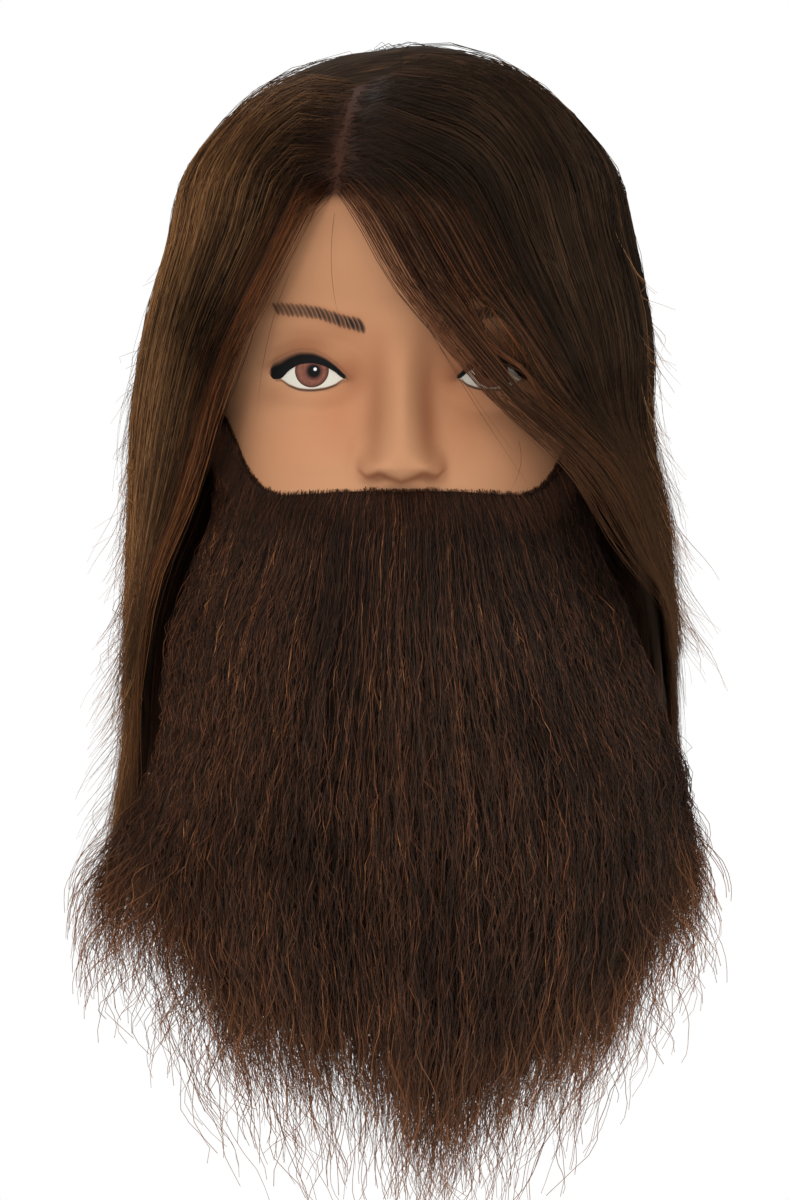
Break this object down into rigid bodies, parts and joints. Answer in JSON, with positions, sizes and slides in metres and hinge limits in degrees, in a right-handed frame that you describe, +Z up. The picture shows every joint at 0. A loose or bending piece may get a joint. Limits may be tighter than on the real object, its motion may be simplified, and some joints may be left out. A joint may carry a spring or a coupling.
{
  "type": "mannequin training head",
  "caption": "Hairdresser's training head with a painted vinyl face, long parted hair and a long full crimped beard, and a blind socket in the neck for a bench clamp's pin.",
  "frame": {"origin": "centre of the clamp socket's mouth, in the plane of the neck's flat underside", "axes": "+Z up along the socket's bore towards the crown, -Y the way the face looks, +X to the right of someone facing the head"},
  "size_m": [0.2238, 0.2356, 0.4165],
  "materials": {
    "vinyl_skin": "satin soft vinyl with airbrushed shading, painted eyes and brows",
    "foam": "rigid poured foam",
    "socket_plastic": "moulded, fine grain",
    "plate_plastic": "moulded, fine grain",
    "plug_plastic": "moulded, fine grain",
    "scalp_hair": "rooted hair, dark brown with lighter and reddish strands",
    "beard_hair": "rooted crimped hair, near black to auburn"
  },
  "bodies": {
    "root": {"head_skin": "vinyl_skin", "foam_core": "foam", "clamp_socket": "socket_plastic", "base_plate": "plate_plastic", "fill_plug": "plug_plastic", "hair_top_left": "scalp_hair", "hair_top_right": "scalp_hair", "hair_fringe_left": "scalp_hair", "hair_fringe_right": "scalp_hair", "hair_side_left": "scalp_hair", "hair_side_right": "scalp_hair", "hair_back_left": "scalp_hair", "hair_back_right": "scalp_hair", "hair_nape_left": "scalp_hair", "hair_nape_right": "scalp_hair", "moustache": "beard_hair", "beard_chin": "beard_hair", "beard_throat": "beard_hair", "beard_cheek_left": "beard_hair", "beard_cheek_right": "beard_hair", "beard_jaw_left": "beard_hair", "beard_jaw_right": "beard_hair"}
  },
  "joints": []
}
